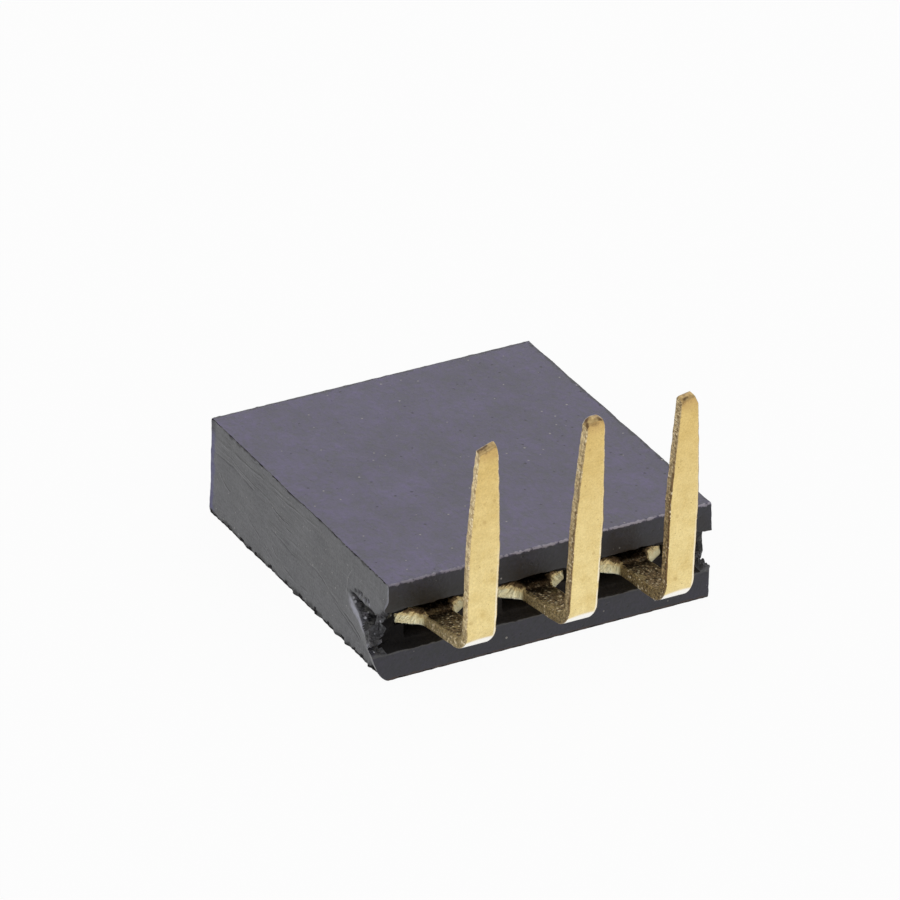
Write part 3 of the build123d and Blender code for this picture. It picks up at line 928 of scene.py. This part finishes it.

# %% [markdown]
# ## Cut plastic
# The end face was cut with a blade. The blade leaves long curved marks, each a shallow groove painted dark as
# shade, with a painted highlight along one side, over finer streaks that follow the same sweep. A mark is an
# arc through three points on the face, in millimetres in from the rear and up. Its group measures how far a
# place is from the circle,
# and keeps only the angles between its ends.

# %% Knife mark group
(vector, centre, toward, radius, half_angle, width), result = group(
    "knife mark", {"Vector": (0, 0, 0), "Centre": (0, 0, 0), "Toward": (0, 1, 0), "Radius": 1.0,
                   "Half Angle": 0.5, "Width": 0.04}, ["Groove", "Lip"])
offset = vector_maths("MULTIPLY", vector_maths("SUBTRACT", vector, centre), (0, 1, 1))
length = vector_maths("LENGTH", offset, out="Value")
along = vector_maths("DOT_PRODUCT", vector_maths("NORMALIZE", offset), toward, out="Value")
fade = ramp(maths("ARCCOSINE", along) / half_angle, 0.55, 1.0, 1.0, 0.0)
off = (length - radius) / width
for key, beside in (("Groove", off), ("Lip", off - 1.1)):
    fill(result[key], maths("SUBTRACT", 1.0, abs(beside), clamp=True) * fade)
print("group knife mark:", len(vector.tree.nodes), "nodes")

# %% Knife marks
KNIFE_MARKS = (  # three points of (in from the rear, up), width, strength; below zero it only shows pale
    ((8.22, 2.12), (6.11, 2.19), (4.19, 2.33), 0.045, 0.8),
    ((8.36, 1.70), (7.57, 1.71), (5.99, 1.60), 0.040, 0.8),
    ((8.20, 1.52), (7.74, 1.09), (7.05, 1.05), 0.040, 0.9),
    ((5.82, 1.02), (5.00, 0.48), (3.62, 0.41), 0.040, 0.7),
    ((5.97, 1.08), (4.85, 1.00), (4.22, 0.94), 0.035, 0.7),
    ((2.69, 0.91), (1.80, 0.68), (0.87, 0.36), 0.050, 1.0),
    ((2.50, 0.80), (1.70, 0.56), (0.90, 0.28), 0.040, 0.8),
    ((3.65, 1.11), (3.17, 1.10), (2.79, 0.96), 0.040, 0.8),
    ((6.01, 2.11), (4.60, 2.17), (3.23, 2.30), 0.035, 0.7),
    ((1.90, 1.20), (1.86, 1.75), (1.61, 2.06), 0.030, -0.9),
    ((7.90, 1.95), (6.60, 1.82), (5.30, 1.78), 0.030, 0.6),
    ((6.90, 0.95), (6.10, 0.62), (5.20, 0.30), 0.030, 0.5),
    ((6.35, 2.08), (5.85, 2.06), (5.20, 2.08), 0.030, 1.2),
    ((5.60, 1.72), (5.15, 1.63), (4.70, 1.60), 0.028, 1.0),
    ((5.35, 1.55), (4.95, 1.47), (4.55, 1.45), 0.028, 1.0),
    ((1.66, 1.14), (1.42, 1.05), (1.14, 1.02), 0.030, -1.6),
)
OVERRUN = 1.15  # how much further than its end points a mark fades out


def arc_through(first, middle, last):
    """Centre, radius, and the middle direction and half angle of the circle through three points."""
    a, b, c = (np.array(p, float) for p in (first, middle, last))
    grid = 2 * np.array([b - a, c - b])
    centre = np.linalg.solve(grid, np.array([b @ b - a @ a, c @ c - b @ b]))
    rays = [(p - centre) / np.linalg.norm(p - centre) for p in (a, c)]
    towards = rays[0] + rays[1]
    towards /= np.linalg.norm(towards) * (1 if towards @ (b - centre) > 0 else -1)
    return centre, np.linalg.norm(a - centre), towards, math.acos(float(np.clip(rays[0] @ towards, -1, 1)))


print(len(KNIFE_MARKS), "knife marks")

# %% Cut plastic
cut, where = principled("cut_plastic", (0.045, 0.045, 0.046), 0.5)
x, y, z = split(where)
lifted = node(where.tree, "ShaderNodeCombineXYZ", {2: (grain(where, 0.5, 2.0, 1.0) - 0.5) * 0.09})
wavy = vector_maths("ADD", where, lifted)
grooves = lips = 0.0
for first, middle, last, width, strength in KNIFE_MARKS:
    centre, radius, towards, half = arc_through(first, middle, last)
    groove, lip = place("knife mark", ("Groove", "Lip"), Vector=wavy, Centre=(0, centre[0] + REAR, centre[1]),
                        Toward=(0, *towards), Radius=radius, Half_Angle=half * OVERRUN, Width=width)
    if strength > 0:
        grooves = groove * strength + grooves
    lips = (lip if strength > 0 else groove) * abs(strength) + lips
gaps = ramp(grain(mapped(where, (1, 0.6, 1.6)), 0.35, 3.0, 2.0), 0.30, 0.50)
grooves, lips = grooves * gaps, lips * gaps
fine = grain(where, 0.055, 4.0, 2.1)
broad = grain(where, 1.1, 3.0, 1.5)
streaks = grain(mapped(wavy, (1, 0.22, 2.6), turn=(0.22, 0, 0)), 0.16, 4.0, 2.2)
hairs = grain(mapped(wavy, (1, 0.11, 3.0), turn=(0.16, 0, 0)), 0.13, 2.0, 2.6)
crumbs = grain(where, 0.11, 5.0, 3.0)
swept = ramp(y, -1.8, 0.6) * ramp(z, 0.5, 1.3) * ramp(grain(where, 2.0, 1.0, 2.5), 0.2, 0.6)
torn, whitening_and_highlights = (attribute(where.tree, key) for key in ("torn", "whitening_and_highlights"))


def chips_on(where):
    """The larger chips that lie in the torn places."""
    return specks(mapped(where, (1.0, 0.8, 0.8), shift=(0.3, 0.1, 0.7)), 0.15, 0.085, 0.42)


chips = chips_on(where)
rough_black = painted(
    blend(ramp(grain(where, 0.17, 3.0, 3.0), 0.35, 0.75), (0.003, 0.003, 0.006), (0.060, 0.056, 0.062)),
    (chips, 0.9, (0.105, 0.098, 0.115)),
    # Bright points, painted glints on the crumbs.
    (specks(where, 0.12, 0.040, 0.26), 0.9, (0.62, 0.62, 0.68)),
)
far_edge = blend(ramp(z, 2.0, 2.3), (0.075, 0.070, 0.20), (0.006, 0.005, 0.02))
colour = varied(
    blend(broad, (0.098, 0.099, 0.104), (0.134, 0.136, 0.146)),
    (streaks, (0.86, 0.86, 0.86), (1.14, 1.14, 1.14)),
    (fine, (0.70, 0.70, 0.70), (1.30, 1.30, 1.30)),
)
colour = painted(
    colour,
    # Painted shade in the knife marks' grooves, and painted highlights along their lips.
    (grooves, 0.75, (0.016, 0.016, 0.017)),
    (lips, 0.65, (0.24, 0.24, 0.25)),
    (ramp(hairs, 0.20, 0.08) * swept, 0.6, (0.030, 0.030, 0.031)),
    (ramp(hairs, 0.80, 0.92) * swept, 0.45, (0.22, 0.22, 0.23)),
    (specks(where, 0.18, 0.020, 0.30), 0.8, (0.38, 0.37, 0.35)),
    (edge_line(where, (0, FRONT, 0), 0.26, 0.3, 0.3, across=(0, 1, 0)), 0.8, far_edge),
    # Painted shade along the top and bottom edges of the cut.
    (edge_line(where, (0, 0, HIGH), 0.055, 1.5, 0.20, across=(0, 0, 1)), 0.95, (0.004, 0.004, 0.004)),
    (edge_line(where, (0, 0, 0), 0.13, 0.9, 0.22, across=(0, 0, 1)), 0.95, (0.004, 0.004, 0.004)),
    (torn, 1.0, rough_black),
    # Whitened where the flare was bent, and painted highlights on the end's rear rims and beside the pits.
    (whitening_and_highlights, 0.9, (0.40, 0.40, 0.48)),
)
relief = (lips - grooves) * 0.014 + streaks * 0.008 + fine * 0.007
finish(cut, relief + crumbs * torn * 0.05 + chips * torn * 0.04, 0.9,
       Base_Color=colour, Roughness=streaks * 0.2 + 0.38 + torn * -0.08)

# %% [markdown]
# ## Torn plastic
# Inside the hollow and on the ragged lips the plastic was ripped, not cut: it's shiny black in crumbs, with
# dull and pale chips lying on it, and bright points that are painted glints.

# %% Torn plastic
ripped, where = principled("torn_plastic", (0.02, 0.02, 0.02), 0.42, level=0.40)
crumbs = grain(where, 0.16, 4.0, 3.0)
chips = chips_on(where)
colour = painted(
    blend(ramp(crumbs, 0.40, 0.95), (0.003, 0.003, 0.004), (0.080, 0.078, 0.074)),
    (chips, 0.8, (0.095, 0.090, 0.095)),
    # Bright points, painted glints on the crumbs.
    (specks(where, 0.12, 0.042, 0.28), 0.9, (0.62, 0.62, 0.62)),
)
finish(ripped, chips * 0.03 + crumbs * 0.02, 0.8, Base_Color=colour)

# %% [markdown]
# ## Plated metal
# The contacts are stamped from plated strip. The two broad faces keep the plating, and the sheared sides show
# the rougher metal of the cut. The strip's flat coordinates, which every bend leaves alone, place what
# belongs to the strip: across its width from the middle, along its run from the fork's tip, and through its
# thickness. The share says how much of the half width a place has reached, from -1 to 1. The outer face has a
# painted highlight, near white, under the bend, and another along one long edge of the leg, and is tarnished
# towards the tip. The inner face is duller and grainy, with painted glints among its grains. Between the slot
# and the bend it is dark brown, with tarnish and painted shade; it has painted shade where it leaves the slot
# and inside the housing, and the shoulders are painted lighter as lit.

# %% Plated faces
def plated(name, colour, roughness, speckle):
    """What both broad faces share: the tint, with brown spots and a tarnished tip, and where things are."""
    material, where = principled(name, colour, roughness, 1.0)
    across, run, _ = split(attribute(where.tree, "strip", "Vector"))
    share = split(attribute(where.tree, "share", "Vector"))[0]
    fine = grain(where, 0.045, 4.0, 2.0)
    older, browner = (
        tuple(a * b for a, b in zip(colour, by)) for by in ((0.88, 0.80, 0.66), (0.86, 0.80, 0.68))
    )
    tint = blend(ramp(run, BEND_RUN + 0.6, RUN_END), colour, older)
    tint = painted(tint, (ramp(grain(where, 0.6, 4.0, 2.2), 0.5, 0.9), 0.5, browner))
    tint = varied(
        tint,
        (grain(where, 0.28, 3.0, 2.0), (0.90, 0.87, 0.80), (1.06, 1.07, 1.10)),
        (fine, (1 - speckle,) * 3, (1 + speckle * 0.6,) * 3),
    )
    ending = grain(where, 0.14, 4.0, 2.5) * 0.26 + run
    tint = painted(
        tint,
        (specks(where, 0.12, 0.015, 0.22), 0.6, (0.26, 0.16, 0.06)),
        (specks(mapped(where, shift=(0.7, 2.1, 1.2)), 0.24, 0.062, 0.30), 0.34, (0.42, 0.28, 0.10)),
        (ramp(ending, RUN_END - 0.40, RUN_END + 0.12), 0.65, (0.52, 0.32, 0.13)),
        (ramp(share * -0.08 + ending, RUN_END - 0.05, RUN_END + 0.18), 0.55, (0.10, 0.055, 0.03)),
    )
    return material, where, across, run, share, tint, fine


plate, where, across, run, share, tint, fine = plated("gold_plate", (0.89, 0.72, 0.34), 0.28, 0.20)
bow = maths("POWER", abs(share - 0.35), 2.0) * 0.035
# A painted highlight, near white, under the bend.
bend_highlight = ramp(run, BEND_RUN - 0.85, BEND_RUN - 0.7) * ramp(run + bow, BEND_RUN - 0.16, BEND_RUN - 0.25)
broken = grain(where, 0.25, 3.0, 1.8)
# A painted highlight along one long edge of the leg.
edge_highlight = ramp(share, 0.80, 0.90) * ramp(run, BEND_RUN - 0.4, BEND_RUN - 0.1) * ramp(broken, 0.05, 0.55)
edge_highlight = edge_highlight * ramp(run, BEND_RUN + 2.4, BEND_RUN + 0.3, 0.12, 0.85)
tint = painted(
    tint,
    (bend_highlight, 0.96, (1.0, 0.98, 0.93)),
    (edge_highlight, 1.0, (1.0, 0.93, 0.76)),
    (ramp(share, -0.86, -0.98) * ramp(broken, 0.3, 0.7), 0.55, (0.42, 0.28, 0.10)),
)
finish(plate, fine * 0.0016, 0.6, Base_Color=tint, Roughness=fine * 0.10 + 0.25)

# %% Inner faces
inner, where, across, run, share, tint, fine = plated("gold_plate_inner", (0.80, 0.63, 0.30), 0.40, 0.35)
grains = specks(where, 0.070, 0.034, 0.62)
tarnish_and_shade_noise = grain(where, 0.30, 4.0, 2.5)
coarse = grain(where, 0.055, 2.0, 4.0)
side = abs(across)
shoulders = ramp(run, ROOT_RUN + 0.05, ROOT_RUN - 0.08) * ramp(run, ROOT_RUN - 1.53, ROOT_RUN - 0.93)
shoulders = shoulders * ramp(side, 0.38, 0.42) * ramp(across, 0.0, 0.2, 1.0, 0.2)
tint = painted(
    tint,
    # Dark brown before the bend: tarnish, and painted shade.
    (ramp(tarnish_and_shade_noise, 0.0, 0.5) * ramp(run, BEND_RUN + 0.3, BEND_RUN - 0.2), 0.95,
     blend(coarse, (0.050, 0.030, 0.016), (0.56, 0.40, 0.22))),
    # Painted glints on the grains.
    (grains, 0.8, (1.0, 0.88, 0.60)),
    # Painted shade where the tail leaves the slot.
    (ramp(tarnish_and_shade_noise * 0.45 + run, ROOT_RUN + 0.67, ROOT_RUN + 0.32) * ramp(side, 0.40, 0.36), 0.88,
     (0.040, 0.024, 0.014)),
    # The shoulders painted lighter and less metallic, as lit.
    (shoulders, 0.9, (1.0, 0.86, 0.46)),
    (ramp(coarse * 0.12 - share, 0.80, 0.90) * ramp(run, ROOT_RUN - 0.08, ROOT_RUN + 0.02), 0.85,
     blend(fine, (0.40, 0.28, 0.12), (0.86, 0.68, 0.36))),
    # Painted shade on the part inside the housing.
    (ramp(tarnish_and_shade_noise * 0.16 + run, ROOT_RUN - 0.13, ROOT_RUN - 0.23), 0.92, (0.06, 0.035, 0.018)),
)
relief = grains * 0.016 + fine * 0.012 + grain(where, 0.13, 2.0, 2.5) * shoulders * 0.09
finish(inner, relief, 1.0, Base_Color=tint, Metallic=shoulders * -0.55 + 1.0)

# %% [markdown]
# A sheared side has fine lines along the strip, a broken band near the inner face with dark spots in it, and
# pale grains at that corner, which are painted glints. It's darker on the further ways and near the bend. The
# broken ends of the shoulders are sheared too: painted lighter than the sides, as lit, with a painted
# highlight along their lower edge, and a dark step under a pale upper part.

# %% Sheared sides
shear, where = principled("sheared_edge", (0.62, 0.46, 0.22), 0.42, 1.0)
flat = attribute(where.tree, "strip", "Vector")
_, run, through = split(flat)
row = split(where)[0]
lines = grain(mapped(flat, (0, 1, 0.10)), 0.035, 3.0, 2.4)
crumb = grain(where, 0.045, 3.0, 3.2)
speckled = grain(where, 0.075, 4.0, 3.0)
# Darker on the further ways and near the bend.
darker_further_and_lower = ramp(row, -2.6, 2.0) * ramp(run, BEND_RUN + 0.3, BEND_RUN + 3.6, 1.0, 0.35)
depth = lines * 0.06 + through
fracture = ramp(grain(where, 0.12, 1.0, 2.0) * 0.10 + depth, 0.24, 0.20)
dull = blend(lines, (0.78, 0.62, 0.34), (1.0, 0.86, 0.56))
crumbly = blend(crumb, (0.08, 0.045, 0.018), (0.78, 0.58, 0.30))
dull = blend(ramp(darker_further_and_lower, 0.0, 1.0, 0.15, 0.95), dull, crumbly)
dull = painted(
    varied(dull, (speckled, (0.52, 0.44, 0.34), (1.32, 1.32, 1.28))),
    (ramp(speckled * 0.05 + depth, 0.01, -0.03) * ramp(row, -2.2, 0.6, 0.10, 0.80),
     ramp(run, BEND_RUN + 4.4, BEND_RUN + 2.0, 0.35, 1.0), (0.14, 0.075, 0.030)),
    (specks(where, 0.070, 0.036, 0.35), ramp(darker_further_and_lower, 0.0, 1.0, 0.15, 0.9), (0.07, 0.04, 0.02)),
    (ramp(run, BEND_RUN + 0.4, BEND_RUN - 0.4), 0.6, blend(crumb, (0.05, 0.035, 0.015), (0.42, 0.32, 0.15))),
    # Painted glints.
    (specks(mapped(where, shift=(0.4, 0.9, 0.2)), 0.070, 0.034, 0.34), 0.85, (1.0, 0.86, 0.60)),
)
step = grain(where, 0.15, 3.0, 3.0) * 0.08 + depth
# The broken ends of the shoulders, painted lighter as lit, with a painted highlight along their lower edge.
lit_ends = painted(
    blend(fracture, (0.62, 0.47, 0.23), blend(lines, (0.86, 0.72, 0.38), (1.0, 0.97, 0.70))),
    (ramp(step, 0.13, 0.16), 0.8, (0.84, 0.66, 0.33)),
    (ramp(step, 0.205, 0.245), 0.9, (0.13, 0.075, 0.040)),
    (ramp(depth, -0.06, -0.10), 0.8, (1.0, 0.99, 0.82)),
)
outside = ramp(run, ROOT_RUN + 0.09, ROOT_RUN - 0.01)
finish(shear, lines * 0.02 + crumb * 0.012, 1.0, Base_Color=blend(outside, dull, lit_ends))

# %% [markdown]
# The tips were cut off the carrier strip after plating. They show brown bare metal, nearly black towards one
# side, with a pale line where the plating of the inner face ends.

# %% Cut tips
tipcut, where = principled("cut_tip", (0.45, 0.32, 0.18), 0.4, 1.0)
crumb = grain(where, 0.09, 3.0, 2.0)
share = split(attribute(where.tree, "share", "Vector"))[0]
through = split(attribute(where.tree, "strip", "Vector"))[2]
colour = painted(
    blend(crumb, (0.30, 0.19, 0.08), (0.52, 0.39, 0.18)),
    (ramp(share * -0.18 + grain(where, 0.17, 1.5, 2.2), 0.45, 0.95), 0.85, (0.09, 0.05, 0.028)),
    (ramp(through, 0.075, 0.11), 0.7, (0.95, 0.88, 0.80)),
)
finish(tipcut, crumb * 0.006, 0.8, Base_Color=colour)

# %% [markdown]
# ## Finishes onto the pieces
# The housing's faces are sorted by where they are into moulded skin, cut plastic, slot interior and torn
# plastic, and the slot interior's material of painted shade also lines some edges. Two values are stored on
# its points for the cut plastic: where it is torn, and where bending has whitened it, together with painted
# highlights on the end's rear rims and beside its pits.

# %% Sort the faces
SKIN, CUT, PAINTED_SHADE, TORN = range(4)


def coordinates(items, key):
    """X, Y and Z of all points or all faces, in millimetres."""
    values = np.empty(len(items) * 3)
    items.foreach_get(key, values)
    return values.reshape(-1, 3).T / MM


mesh = housing.data
x, y, z = coordinates(mesh.polygons, "center")
number = np.empty(len(mesh.polygons), np.int32)
mesh.polygons.foreach_get("material_index", number)
on_end = number == CUT
uneven = ripple(y, z, size=0.2, seed=18)
deep = (y > REAR + 0.012) & (y < FRONT - 0.02) & (x > LEFT - 0.3) & (x < RIGHT - 0.03)
deep &= (z > 0.3) & (z < HIGH - 0.3) & ~on_end
on_skin = ~on_end & ~deep
gone = inside_distance(y - REAR, z, HOLLOW) > 0.03 + 0.01 * uneven
gone &= y > REAR + 0.74 + 0.1 * uneven

# Painted shade: dark broken lines along the edges of the cut, the resting face and the far top edge
gaps = ripple(y, size=0.9, seed=21) + 0.7 * ripple(y, size=0.25, seed=22)
far_gaps = ripple(x, size=0.5, seed=25) + 0.5 * ripple(x, size=0.15, seed=26)
shade_lines = (z > HIGH - 0.010 - 0.030 * gaps) | (z < 0.055 + 0.05 * ripple(y, size=0.4, seed=23))
shade_lines &= on_end & (x < 0)
shade_lines |= on_skin & (y < REAR + 0.05) & (z < 0.030 + 0.012 * ripple(x, size=0.5, seed=24))
shade_lines |= on_skin & (y > FRONT - 0.02) & (z > HIGH - 0.04) & (far_gaps > -0.2)

# Cut and torn places just inside both ends of the slot
pale_lip = (x > RIGHT - 0.24) & (z > 0.72) & (z < 0.97) & (y < SLOT_FLOOR)
ragged = (y > REAR + 0.012) & (y < SLOT_FLOOR + 0.02) & (x > RIGHT - 0.22 - 0.06 * uneven)
ragged &= (z > 0.6) & (z < 1.9) & ~on_end & ~pale_lip
ragged |= deep & (x < LEFT + 0.36 + 0.08 * uneven) & (z > 1.38) & (y < REAR + 0.6)
web = deep & (x < LEFT + 0.02 + 0.05 * uneven) & (z < 1.45) & (y < SLOT_FLOOR + 0.05)

# The slot, the cavities and the painted shade lines take the slot's material of painted shade.
number = np.where(deep | shade_lines, PAINTED_SHADE, np.where(on_end, CUT, SKIN))
number = np.where(web | (pale_lip & ~on_end), CUT, number)
number = np.where(((number == CUT) & gone & (x < 0)) | ragged, TORN, number).astype(np.int32)
mesh.materials.clear()
for material in (skin, cut, inside, ripped):
    mesh.materials.append(material)
mesh.polygons.foreach_set("material_index", number)
mesh.polygons.foreach_set("use_smooth", number != TORN)
for piece in contacts:
    for material in (plate, shear, tipcut, inner):
        piece.data.materials.append(material)
print("skin, cut, inside, torn faces:", [int((number == kind).sum()) for kind in (SKIN, CUT, PAINTED_SHADE, TORN)])

# %% Torn and whitened places
GLINT_SPOTS = ((1.33, 1.55), (1.13, 1.52), (0.98, 1.57), (0.86, 1.55))  # beside the pits: distance in, height
x, y, z = coordinates(mesh.vertices, "co")
inward = y - REAR
near_end = ease((LEFT + 0.55 - x) / 0.15)
web = ease((0.80 - inward) / 0.1)
torn = ease((inside_distance(inward, z, HOLLOW) + 0.02) / 0.03) * near_end
torn = np.maximum(torn, web * near_end * ease((z - 0.75) / 0.1) * (z < 1.5))
torn *= 1 - web * (0.40 + 0.35 * ripple(y, z, size=0.15, seed=30))
torn += 1.2 * near_end * sum(mound((inward, a, wide), (z, b, wide)) for a, b, wide in PITS)
crest = np.interp(inward, FLARE[:, 0], FLARE[:, 2])
# Whitening along the flare's crest and at a spot near its rear end; painted highlights along the upper and
# lower rear rims, and painted glints beside the pits.
whitening_and_highlights = np.exp(-(((z - crest + 0.14) / 0.12) ** 4)) * near_end
whitening_and_highlights *= ease((inward - 0.70) / 0.30) * ease((1.90 - inward) / 0.40) * 1.15
whitening_and_highlights += 0.9 * mound((inward, 0.38, 0.05), (z, 0.80, 0.05)) * near_end
whitening_and_highlights += 0.35 * ease((0.09 - inward) / 0.06) * ease((z - 1.85) / 0.1) * near_end
whitening_and_highlights += 0.45 * ease((0.10 - inward) / 0.06) * ease((0.75 - z) / 0.1) * near_end
whitening_and_highlights += 0.7 * sum(mound((inward, a, 0.03), (z, b, 0.03)) for a, b in GLINT_SPOTS)
whitening_and_highlights *= 1 + 0.35 * ripple(y, z, size=0.2, seed=27)
for key, values in (("torn", torn), ("whitening_and_highlights", whitening_and_highlights)):
    values = np.clip(values, 0, 1).astype(np.float32)
    mesh.attributes.new(key, "FLOAT", "POINT").data.foreach_set("value", values)
    print(key, "on", int((values > 0.5).sum()), "points")

# %% Tie the pieces to the CAD model
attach(housing, "root")
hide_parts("housing")
for number, piece in enumerate(contacts, 1):
    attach(piece, "root")
    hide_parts(f"contact_{number}")
bpy.context.scene.view_settings.view_transform = "Standard"
bpy.context.view_layer.update()
